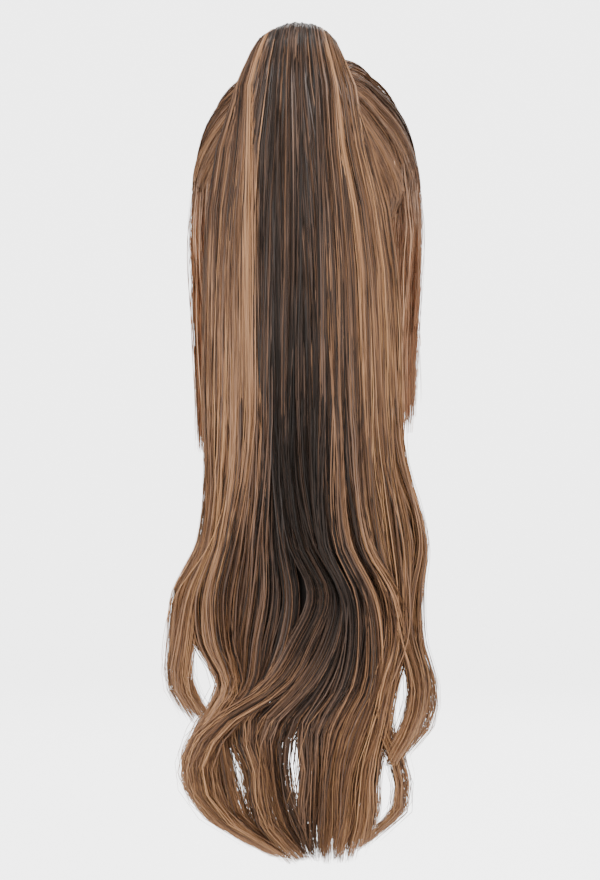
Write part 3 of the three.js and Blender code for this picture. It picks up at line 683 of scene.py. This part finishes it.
def tail_lines(lock, index, count, rng):
    """Middle lines, widths, facing, tones and twists of a lock's fibres."""
    wisp = rng.integers(0, WISPS, count)
    short = rng.uniform(0, WISP_SHORT, WISPS)[wisp] + FIBRE_SHORT * rng.random(count) ** 2
    short = short + LAYERED_SHORT * (rng.random(count) < LAYERED_SHARE)
    run = fibre_runs(lock["ends"] * (1 - short))
    hang = np.maximum(0, hang_at(run))
    place = hang / lock["ends"]
    wisp_aside = np.linspace(-0.75, 0.75, WISPS) + rng.normal(0, 0.12, WISPS)
    wisp_out = rng.uniform(-0.8, 0.9, WISPS)
    phase = rng.uniform(0, 2 * np.pi, WISPS)[wisp][:, None]
    # A highlight is densest in its middle, a lock fills its lane and a little of the next
    even = rng.normal(0, 0.5, count) if "lift" in lock else rng.uniform(-1.15, 1.15, count)
    depth = rng.random(count)
    # Where it lies combed, each fibre dips under its neighbours now and then
    stations = run.shape[1]
    dips = rng.normal(0, DIPS, (count, stations))
    sidesteps = SIDESTEPS * rng.normal(0, 1, (count, stations))
    groove = np.abs(np.sin(even * 2.1 * np.pi + index))  # shallow grooves where it lies combed
    gathered = ease((hang - 0.38) / 0.34)
    own_aside = (wisp_aside[wisp] + rng.normal(0, 0.34, count))[:, None]
    own_up = (wisp_out[wisp] + rng.normal(0, 0.3, count))[:, None]
    loose = ease((hang - SHOULDER) / (WAIST - SHOULDER))
    fan = half_width_at(np.minimum(run, run_at(1, SHOULDER))) / TAIL_HALF_WIDTH
    size = lock["girth"] * mix(fan, 1, loose) * mix(1, TIP_GATHER, ease((hang - WAIST) / 0.06))
    in_lane = mix(even[:, None], own_aside, gathered) * LANE_HALF_WIDTH * size
    across = lane_across(lock, run, hang) + in_lane
    across = across + WISP_WAVE * loose * np.sin(2 * np.pi * WISP_WAVES * hang + phase)
    # Each fibre wanders by itself, most at its tip
    turn = rng.uniform(0, 2 * np.pi, count)[:, None] + rng.uniform(4, 14, count)[:, None] * hang
    stray = STRAY * rng.normal(0, 0.8, count) * (1 + 2.5 * (rng.random(count) < STRAY_SHARE))
    wander = (0.5 + loose) * ease(hang / 0.1) * stray[:, None]
    at_tip = LOOSE_ENDS * ease((place - 0.8) / 0.2) * rng.normal(0, 0.6, count)[:, None]
    across = across + wander * np.sin(turn) + at_tip + sidesteps * (1 - gathered) * ease(hang / 0.05)
    # Combed part: on the round of the section
    side = 1 if lock["layer"] >= 0 else -1
    share = share_across(across, run)
    below = (depth + 0.35 * groove)[:, None] + dips
    combed = side * combed_height(lock, run, hang, share, below)
    # Loose part: in the lock's own layer
    wave = DEPTH_WAVE * loose * np.sin(2 * np.pi * WAVES * hang + WAVE_STAGGER * index)
    own = lock["layer"] * (TAIL_HALF_DEPTH - LOCK_HALF_DEPTH) + wave
    own = own + own_up * LOCK_HALF_DEPTH * mix(1, size, 0.7) + wander * np.cos(turn)
    lines = tail_point(run, across, mix(combed, own, ease((hang - 0.32) / 0.3)))
    facing = side * tail_frame(run)[1] + RIGHT * (np.sign(across) * share**2 * 1.5)[..., None]
    widths = FIBRE_WIDTH * rng.uniform(0.5, 1.25, count)[:, None] * taper_to_tip(place, 0.6, 0.3)
    widths[:, -1] *= 0.4
    tones = fibre_tones(lock, hang, depth, wisp, rng)
    return lines, widths, unit(facing), tones, rng.normal(0, 0.6, count)[:, None]


def joined(parts):
    return [np.concatenate(arrays) for arrays in zip(*parts)]


print("wisps in a lock:", WISPS)

# %% [markdown]
# Laying the fibres
# All the fibres in one mesh would be slow to pick and edit, and one mesh a lock would be a long
# list. So the locks are joined in five pieces, four beside each other and one for the inner side.
# This table says which rows of the locks each piece takes, and how many fibres a lock of girth 1
# gets. The inner side is seen less, so it has fewer.

# %% Lay the tail's fibres, one piece for each part of it
PART_COLUMNS = "name first past_last fibres seed"
PART_ROWS = [
    ("tail_hair_left", 0, 7, 310, 11),
    ("tail_hair_middle_left", 7, 13, 310, 12),
    ("tail_hair_middle_right", 13, 18, 310, 13),
    ("tail_hair_right", 18, 24, 310, 14),
    ("tail_hair_under", 24, 33, 130, 15),
]


def tail_piece(part):
    rng = np.random.default_rng(part["seed"])
    bundles = []
    for i in range(part["first"], part["past_last"]):
        bundles.append(tail_lines(locks[i], i, int(part["fibres"] * locks[i]["girth"]), rng))
    dress(ribbon_piece(part["name"], *joined(bundles)), tail_fibre, "brown_hair", "ponytail")


for part in as_table(PART_COLUMNS, PART_ROWS):
    tail_piece(part)

# %% [markdown]
# The highlights
# Caramel strands are blended in as narrow streaks that lie on top of the brown hair. They are what
# the eye follows from the crest to the tips, so each one has a row of its own, with two more places
# near the top, and they are laid a little proud of the rest by the same function.

# %% Table and fibres of the highlights
STREAK_COLUMNS = "crest neck " + PLACES + " " + LOOKS + " fibres"
STREAK_LIFT = 0.8  # millimetres that they lie over the brown hair
STREAK_ROWS = [
    (45, 47, 47, 54, 61, 61, 56, 73, 72, 59, 20, 0.9, 0.70, 1.00, 0.80, 0.80, 0.74, 0.70, 105),
    (50, 62, 66, 73, 88, 93, 95, 78, 76, 75, 74, 0.6, 0.80, 0.82, 0.42, 0.74, 0.76, 0.76, 95),
    (47, 55, 56, 65, 76, 76, 60, 77, 86, 68, 20, 0.9, 0.70, 1.00, 0.50, 0.70, 0.74, 0.70, 80),
    (-22, -40, -46, -54, -63, -67, -60, -56, -50, -48, -37, 1.0, 0.35, 1.00, 0.80, 0.60, 0.64, 0.72, 80),
    (-36, -57, -63, -70, -74, -73, -62, -57, -50, -48, -38, 0.8, 0.60, 1.00, 0.72, 0.76, 0.68, 0.72, 90),
    (-33, -60, -71, -88, -83, -82, -91, -87, -64, -64, -64, 0.6, 0.50, 0.885, 0.50, 0.68, 0.70, 0.78, 90),
    (-10, -18, -24, -29, -47, -52, -50, -40, -30, -28, -22, 1.1, 0.50, 1.00, 0.32, 0.50, 0.66, 0.74, 80),
    (-20, -30, -36, -43, -64, -74, -85, -80, -62, -62, -62, 1.1, 0.80, 0.885, 0.34, 0.46, 0.74, 0.80, 95),
    (14, 14, 16, 7, -12, 1, 25, 70, 87, 68, 17, 1.2, 0.70, 1.00, 0.30, 0.20, 0.44, 0.76, 80),
    (-8, -12, -14, -20, -39, -42, -37, -21, -14, -12, -11, 1.0, 0.50, 1.00, 0.28, 0.40, 0.42, 0.60, 60),
    (-14, -22, -27, -32, -51, -55, -52, -42, -32, -30, -23, 1.0, 0.50, 1.00, 0.28, 0.46, 0.48, 0.68, 60),
    (24, 30, 33, 34, 33, 38, 43, 64, 60, 49, 11, 0.9, 0.40, 1.00, 0.26, 0.40, 0.50, 0.66, 50),
    (-28, -48, -58, -66, -70, -69, -60, -58, -72, -69, -30, 0.7, 0.50, 1.00, 0.44, 0.54, 0.62, 0.70, 80),
    (4, 5, 6, -4, -24, -21, -5, 18, 22, 13, -1, 0.9, 0.30, 1.00, 0.26, 0.20, 0.30, 0.62, 30),
]
streaks = [dict(row, lift=STREAK_LIFT) for row in as_table(STREAK_COLUMNS, STREAK_ROWS)]
rng = np.random.default_rng(16)
bundles = [tail_lines(row, i, row["fibres"], rng) for i, row in enumerate(streaks)]
dress(ribbon_piece("tail_highlights", *joined(bundles)), tail_fibre, "brown_hair", "ponytail")

# %% [markdown]
# The swept hair on the cap
# From the rim the hair is combed up to the tie. Under it lies a thin shell of packed hair, painted dark
# as shade, and over the shell go fibres that follow the same way. They draw together in clumps, wander a
# little and cross, as real combed hair does.

# %% Shell and fibres of the swept hair
SHELL_COLUMNS = 120
SHELL_ROWS = 26
SHELL_INSET = 2.2 * MM
# Painted shade: the dark tone of the shell under the fibres
SHELL_SHADED_TONE = 0.22
SHELL_OPENING = 0.3  # share of the way from root to rim where its inner wall starts


def swept_shell():
    bearing = np.arange(SHELL_COLUMNS) * 360 / SHELL_COLUMNS
    reach = rim_reach(bearing)
    rings = []
    for share in np.linspace(SHELL_OPENING, 1, SHELL_ROWS):
        away = mix(0, reach, share)
        direction = flow_direction(bearing, away)
        rings.append(head_point(direction, head_radius(direction, OVER_CAP)))
    for share in np.linspace(1, 0.02, SHELL_ROWS):
        away = mix(0, reach, share)
        direction = flow_direction(bearing, away)
        outer = swept_radius(direction, bearing, away, reach - away)
        rings.append(head_point(direction, outer - SHELL_INSET))
    return ring_piece("crown_shell", np.array(rings)[::-1], SHELL_SHADED_TONE)


shell = dress(swept_shell(), painted_shade_fibre, "brown_hair", "crown_hair")
print("shell:", len(shell.data.polygons), "faces")

# %% Fibres of the swept hair
CROWN_FIBRES = 5200
CROWN_STATIONS = 16
CROWN_TONE = 0.55
CLUMP_PULL = 0.25  # how far a fibre may be drawn to the middle of its clump
CLUMP_SWIRL = 5  # degrees
FIBRE_SWIRL = 2.5
CROWN_LIFT = 1.4 * MM
CROWN_SUNK = 0.5 * MM


def crown_lines(count, rng):
    bearing = rng.uniform(0, 360, count)
    nearest = np.round(bearing * CLUMPS / 360)
    clump = nearest.astype(int) % CLUMPS
    bearing = mix(bearing, nearest * 360 / CLUMPS, CLUMP_PULL * rng.random(count))
    swirl = rng.normal(0, CLUMP_SWIRL, CLUMPS)[clump] + rng.normal(0, FIBRE_SWIRL, count)
    along = np.linspace(0, 1, CROWN_STATIONS)[None]
    reach = rim_reach(bearing)[:, None]
    start = 1 - 0.35 * rng.random(count)[:, None] ** 3
    away = mix(reach * start, plateau_angle * 0.5, along**0.9)
    phase = rng.uniform(0, 2 * np.pi, count)[:, None]
    heading = bearing[:, None] + swirl[:, None] * np.sin(np.pi * along) + 1.2 * np.sin(5 * along + phase)
    reach_here = rim_reach(heading)
    away = np.minimum(away, reach_here)
    direction = flow_direction(heading, away)
    lift = (rng.random(count)[:, None] ** 2) * CROWN_LIFT - CROWN_SUNK
    radius = swept_radius(direction, heading, away, reach_here - away) + lift * ease(along * 6)
    lines = head_point(direction, radius)
    widths = FIBRE_WIDTH * rng.uniform(0.7, 1.1, count)[:, None] * mix(1, 0.7, along)
    tone = CROWN_TONE + rng.normal(0, 0.14, CLUMPS)[clump] + rng.normal(0, 0.09, count)
    tones = np.repeat(tone[:, None], CROWN_STATIONS, 1)
    return lines, widths, direction, tones, rng.normal(0, 0.4, count)[:, None]


crown = ribbon_piece("crown_fibres", *crown_lines(CROWN_FIBRES, np.random.default_rng(21)))
dress(crown, crown_fibre, "brown_hair", "crown_hair")

# %% [markdown]
# The locks at the temples
# A thin caramel lock falls from each temple. Its fibres start side by side along the rim, follow
# the head a little and then hang straight. About half of them start higher, on the side of the
# head, and fall over the edge of the swept hair at the ear, as they do in the picture. Each fibre
# is a Bezier curve, which needs only four points: its two ends and two that pull it into shape.

# %% Where the fibres of the face locks start and hang
LOCK_SEAT_GAP = 2 * FIT_GAP
FACE_LOCK_BEARINGS = (42, 78)
FACE_LOCK_REACH = 94 * MM
FACE_LOCK_WIDTH = 36 * MM
FACE_LOCK_FOLLOW = 0.08
FACE_LOCK_HANG = 0.85
FACE_LOCK_BACK_EDGE = -25 * MM
FACE_WISPS = 9
SIDE_SHARE = 0.55  # share of the fibres that start higher, on the side of the head
SIDE_BEARINGS = (60, 120)
SIDE_RISE = (0.06, 0.5)  # angle above the rim
SIDE_HANG = 0.6
SIDE_DROP = 0.2
SIDE_DEPTH = 2 * MM
SIDE_DRAWN_IN = 3 * MM
EDGE_CLEARANCE = 2.5 * MM
UP = np.array([0.0, 0.0, 1.0])


def seat_on_rim(bearing, extra):
    direction = flow_direction(bearing, rim_reach(bearing) + extra / root_radius)
    return head_point(direction, head_radius(direction, OVER_CAP + HAIRLINE_HAIR / 2))


def seat_on_side(bearing, above, below):
    """A place in the swept hair, an angle above the rim; below is 0 on top of it and 1 deep in it."""
    away = rim_reach(bearing) - above
    direction = flow_direction(bearing, away)
    return head_point(direction, swept_radius(direction, bearing, away, above) - SIDE_DEPTH * below)


def face_lock_ways(side, length, count, rng):
    """Four points for each fibre's curve, its wisp, its place in the lock and if it starts higher."""
    wisp = rng.integers(0, FACE_WISPS, count)
    place = clamp(rng.random(count))
    drawn = clamp(np.linspace(0, 1, FACE_WISPS)[wisp] + rng.normal(0, 0.06, count))
    bearing = side * mix(*FACE_LOCK_BEARINGS, place)
    start = seat_on_rim(bearing, LOCK_SEAT_GAP)
    onward = unit(seat_on_rim(bearing, LOCK_SEAT_GAP + MM) - start)
    higher = (rng.random(count) < SIDE_SHARE)[:, None]
    side_bearing = side * mix(*SIDE_BEARINGS, place)
    above = rng.uniform(*SIDE_RISE, count)
    side_start = seat_on_side(side_bearing, above, rng.random(count))
    start = np.where(higher, side_start, start)
    place = np.where(higher[:, 0], mix(0.45, 1, place), place)
    end_height = seat_on_rim(np.array(side * FACE_LOCK_BEARINGS[0]), 0)[2] - length
    end = start.copy()
    end[:, 0] = side * (FACE_LOCK_REACH - FACE_LOCK_WIDTH * (1 - mix(place, drawn, 0.6)))
    end[:, 0] = np.where(higher[:, 0], start[:, 0] - side * SIDE_DRAWN_IN, end[:, 0])
    end[:, 1] = np.minimum(end[:, 1], FACE_LOCK_BACK_EDGE)
    end[:, 2] = end_height
    fall = (start[:, 2] - end_height)[:, None]
    outward = RIGHT * side * EDGE_CLEARANCE
    over_edge = outward - UP * fall * SIDE_DROP
    first_pull = np.where(higher, over_edge, onward * fall * FACE_LOCK_FOLLOW)
    last_pull = UP * fall * np.where(higher, SIDE_HANG, FACE_LOCK_HANG) + outward * higher / 2
    return [start, start + first_pull, end + last_pull, end], wisp, place, higher


print("side strands start up to", SIDE_RISE[1], "radians above the rim")

# %% Fibres of the face locks
FACE_LOCK_LENGTH = 228 * MM
LEFT_LOCK_EXTRA = 14 * MM
FACE_LOCK_THICK = 9 * MM
FACE_FIBRES = 1300
FACE_STATIONS = 22
FACE_WISP_SHORT = 0.08  # how much shorter a wisp or a fibre may be, as a share
FACE_FIBRE_SHORT = 0.2
FACE_SWAY = 1.6 * MM
FACE_TONE = 1.0
SIDE_TONE = 0.78
ROOT_SHADE = 0.1  # how much darker a fibre is at its start
SIDE_ROOT_SHADE = 0.2


def face_lock_lines(side, length, count, rng):
    points, wisp, place, higher = face_lock_ways(side, length, count, rng)
    ends = 1 - FACE_WISP_SHORT * rng.random(FACE_WISPS)[wisp]
    ends = ends - FACE_FIBRE_SHORT * rng.random(count) ** 2
    s = (np.linspace(0, 1, FACE_STATIONS)[None] * ends[:, None])[..., None]
    weights = [(1 - s) ** 3, 3 * s * (1 - s) ** 2, 3 * s**2 * (1 - s), s**3]
    lines = sum(w * p[:, None] for w, p in zip(weights, points))
    thick = mix(HAIRLINE_HAIR * 0.8, FACE_LOCK_THICK, ease(s / 0.3))
    thick = thick * mix(1, 0.5, ease((s - 0.55) / 0.45))
    outward = unit(points[0] - head_centre)
    facing = np.stack([np.full(count, side), -mix(0.9, 0.1, place), 0 * place], -1)
    turned = unit(mix(outward[:, None], unit(facing)[:, None], ease(s / 0.35)))
    layer = rng.uniform(-0.5, 0.5, count)[:, None, None]
    sway = FACE_SWAY * ease(s / 0.5) * np.sin(7 * s + (wisp * 1.3)[:, None, None])
    lines = lines + turned * layer * thick + RIGHT * sway
    widths = FIBRE_WIDTH * rng.uniform(0.6, 1.2, count)[:, None] * taper_to_tip(s[..., 0], 0.5, 0.2)
    tone = np.where(higher[:, 0], SIDE_TONE, FACE_TONE) + rng.normal(0, 0.1, count)
    tone = tone + rng.normal(0, 0.04, FACE_WISPS)[wisp]
    shade = np.where(higher, SIDE_ROOT_SHADE, ROOT_SHADE)
    tones = tone[:, None] - shade * (1 - ease(s[..., 0] / 0.35))
    return lines, widths, turned, tones, rng.normal(0, 0.5, count)[:, None]


for name, side, length, seed in (
    ("face_lock_left", 1, FACE_LOCK_LENGTH + LEFT_LOCK_EXTRA, 31),
    ("face_lock_right", -1, FACE_LOCK_LENGTH, 32),
):
    fibres = face_lock_lines(side, length, FACE_FIBRES, np.random.default_rng(seed))
    dress(ribbon_piece(name + "_fibres", *fibres), caramel_painted_light_fibre, "caramel_hair", name)

# %% [markdown]
# Cap and tie
# The cap is a dark stretch net, seen only from the open underside, and the tie is an elastic band covered
# with thread. Both keep their solids. A fine weave from two crossed waves gives the net its relief and
# the band its wound ribs, with painted shade in the gaps between the threads. As both use it, it is a
# node group, and each material places it with its own colour and closeness of the threads.

# %% Node group for the weave
THREAD_SHARE = 0.62
THREAD_WANDER = 0.6
GAP_PAINTED_SHADE = 0.35  # painted shade: how dark the gaps between the threads are against the threads
WEAVE_SOCKETS = [
    ("Place", "NodeSocketVector", "INPUT", None),
    ("Across", "NodeSocketFloat", "INPUT", 190.0),
    ("Along", "NodeSocketFloat", "INPUT", 190.0),
    ("Thread", "NodeSocketColor", "INPUT", None),
    ("Colour", "NodeSocketColor", "OUTPUT", None),
    ("Height", "NodeSocketFloat", "OUTPUT", None),
]


def thread_weave_group():
    group, given, result = new_group("thread_weave", WEAVE_SOCKETS)
    waves = []
    for direction, closeness in (("X", "Across"), ("Z", "Along")):
        wave = add_node(group, "ShaderNodeTexWave", bands_direction=direction)
        wave.inputs["Distortion"].default_value = THREAD_WANDER
        group.links.new(given.outputs["Place"], wave.inputs["Vector"])
        group.links.new(given.outputs[closeness], wave.inputs["Scale"])
        waves.append(wave.outputs["Fac"])
    height = math_node(group, "MAXIMUM", *waves)
    # From the painted shade of the gaps up to the full colour on the threads
    shade = add_node(group, "ShaderNodeMapRange")
    shade.inputs["From Max"].default_value = THREAD_SHARE
    shade.inputs["To Min"].default_value = GAP_PAINTED_SHADE
    group.links.new(height, shade.inputs["Value"])
    tint = add_node(group, "ShaderNodeHueSaturation")
    group.links.new(given.outputs["Thread"], tint.inputs["Color"])
    group.links.new(shade.outputs["Result"], tint.inputs["Value"])
    group.links.new(tint.outputs["Color"], result.inputs["Colour"])
    group.links.new(height, result.inputs["Height"])
    return group


thread_weave = thread_weave_group()
print("node groups:", [group.name for group in bpy.data.node_groups])


# %% Net and elastic
def woven_material(name, colour, across, along, depth, roughness):
    material = bpy.data.materials.new(name)
    material.use_nodes = True
    tree = material.node_tree
    shader = tree.nodes["Principled BSDF"]
    place = add_node(tree, "ShaderNodeTexCoord")
    weave = add_node(tree, "ShaderNodeGroup", node_tree=thread_weave)
    weave.inputs["Across"].default_value = across
    weave.inputs["Along"].default_value = along
    weave.inputs["Thread"].default_value = (*colour, 1)
    tree.links.new(place.outputs["Object"], weave.inputs["Place"])
    tree.links.new(weave.outputs["Colour"], shader.inputs["Base Color"])
    bump = add_node(tree, "ShaderNodeBump")
    bump.inputs["Distance"].default_value = depth
    bump.inputs["Strength"].default_value = 0.8
    tree.links.new(weave.outputs["Height"], bump.inputs["Height"])
    tree.links.new(bump.outputs["Normal"], shader.inputs["Normal"])
    shader.inputs["Roughness"].default_value = roughness
    return material


NET_COLOUR = (0.050, 0.038, 0.032)
ELASTIC_COLOUR = (0.035, 0.026, 0.022)
for node, material in (
    ("cap", woven_material("cap_net", NET_COLOUR, 190, 190, 0.4 * MM, 0.8)),
    ("ponytail_tie", woven_material("tie_elastic", ELASTIC_COLOUR, 160, 40, 0.5 * MM, 0.7)),
):
    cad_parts[node].data.materials.clear()
    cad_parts[node].data.materials.append(material)
    print(node, "wears", material.name)

# %% [markdown]
# Floor, light and camera
# The wig hangs as a head would hold it, over a plain pale floor that curves up into a wall. One
# bent sheet does it: a profile drawn from the side, with a quarter circle where floor meets wall.
# Its paper glows only as the camera sees it. That keeps the background even and pale from every
# side, and yet throws no light on the wig. Too strong a glow would eat the thin ends of the hair.

# %% Floor and its paper
FLOOR_HEIGHT = -0.74
FLOOR_FRONT = 3.2
FLOOR_BACK = 3.0
FLOOR_HALF_WIDTH = 6.0
FLOOR_BEND = 0.9
BEND_STEPS = 12
WALL_TOP = 4.0
STUDIO_GREY = (0.86, 0.86, 0.86)
PAPER_GLOW = 3.5


def studio_floor():
    profile = [(FLOOR_FRONT, FLOOR_HEIGHT)]
    for turn in np.linspace(0, np.pi / 2, BEND_STEPS + 1):
        depth = -FLOOR_BACK - FLOOR_BEND * np.sin(turn)
        profile.append((depth, FLOOR_HEIGHT + FLOOR_BEND * (1 - np.cos(turn))))
    profile.append((-FLOOR_BACK - FLOOR_BEND, WALL_TOP))
    vertices = [(x, y, z) for x in (-FLOOR_HALF_WIDTH, FLOOR_HALF_WIDTH) for y, z in profile]
    count = len(profile)
    faces = np.array([[i, i + 1, count + i + 1, count + i] for i in range(count - 1)])
    return new_mesh_piece("studio_floor", vertices, faces)


def lit_paper():
    """Pale paper that looks evenly lit in the picture, without throwing that light on the wig."""
    material = bpy.data.materials.new("studio_paper")
    material.use_nodes = True
    tree = material.node_tree
    shader = tree.nodes["Principled BSDF"]
    shader.inputs["Base Color"].default_value = (*STUDIO_GREY, 1)
    shader.inputs["Roughness"].default_value = 0.9
    shader.inputs["Emission Color"].default_value = (1, 1, 1, 1)
    seen = add_node(tree, "ShaderNodeLightPath").outputs["Is Camera Ray"]
    tree.links.new(math_node(tree, "MULTIPLY", seen, PAPER_GLOW), shader.inputs["Emission Strength"])
    return material


floor = studio_floor()
floor.data.materials.append(lit_paper())
print("floor and wall:", len(floor.data.polygons), "faces")

# %% [markdown]
# Light
# A soft light behind the camera shows the sheen of the hair, one from the other side fills the
# shadows low down, and one from above and one in front light the sides that the picture doesn't
# show. Big area lights have soft edges, as a studio's lamps behind cloth have. The air around
# gives a little light from everywhere.

# %% Soft lights
AIR_LIGHT = 0.45
LIGHT_COLUMNS = "name place aim size power"
LIGHT_ROWS = [
    ("key_light", (-0.9, 2.5, 1.2), (0, 0.1, -0.35), 1.0, 92),
    ("fill_light", (1.8, 1.5, -0.4), (0, 0.1, -0.45), 1.5, 40),
    ("top_light", (0.2, 0.1, 2.0), (0, 0.1, -0.3), 1.4, 32),
    ("face_light", (-0.6, -2.0, 0.9), (0, 0, -0.2), 1.6, 24),
]


def soft_light(row):
    light = bpy.data.lights.new(row["name"], "AREA")
    light.size = row["size"]
    light.energy = row["power"]
    lamp = bpy.data.objects.new(row["name"], light)
    lamp.location = row["place"]
    heading = Vector(row["aim"]) - Vector(row["place"])
    lamp.rotation_euler = heading.to_track_quat("-Z", "Y").to_euler()
    bpy.context.scene.collection.objects.link(lamp)


for row in as_table(LIGHT_COLUMNS, LIGHT_ROWS):
    soft_light(row)
    print(row["name"], row["power"], "W")

world = bpy.data.worlds.new("studio_air")
world.use_nodes = True
air = world.node_tree
seen = add_node(air, "ShaderNodeLightPath").outputs["Is Camera Ray"]
glow = math_node(air, "ADD", math_node(air, "MULTIPLY", seen, PAPER_GLOW), AIR_LIGHT)
air.nodes["Background"].inputs["Color"].default_value = (1, 1, 1, 1)
air.links.new(glow, air.nodes["Background"].inputs["Strength"])
bpy.context.scene.world = world

# %% [markdown]
# Camera
# The picture was taken straight from the back, level with the middle of the hair. A long lens far
# off keeps the long hair free of distortion.

# %% Camera
CAMERA_PLACE = (0.0053, 2.4, -0.3027)
CAMERA_LENS = 119.7
SENSOR_HEIGHT = 36

camera = bpy.data.objects.new("camera", bpy.data.cameras.new("camera"))
camera.data.sensor_fit = "VERTICAL"
camera.data.sensor_height = SENSOR_HEIGHT
camera.data.lens = CAMERA_LENS
camera.location = CAMERA_PLACE
camera.rotation_euler = (np.pi / 2, 0, np.pi)
bpy.context.scene.collection.objects.link(camera)
bpy.context.scene.camera = camera
print("camera at", CAMERA_PLACE)
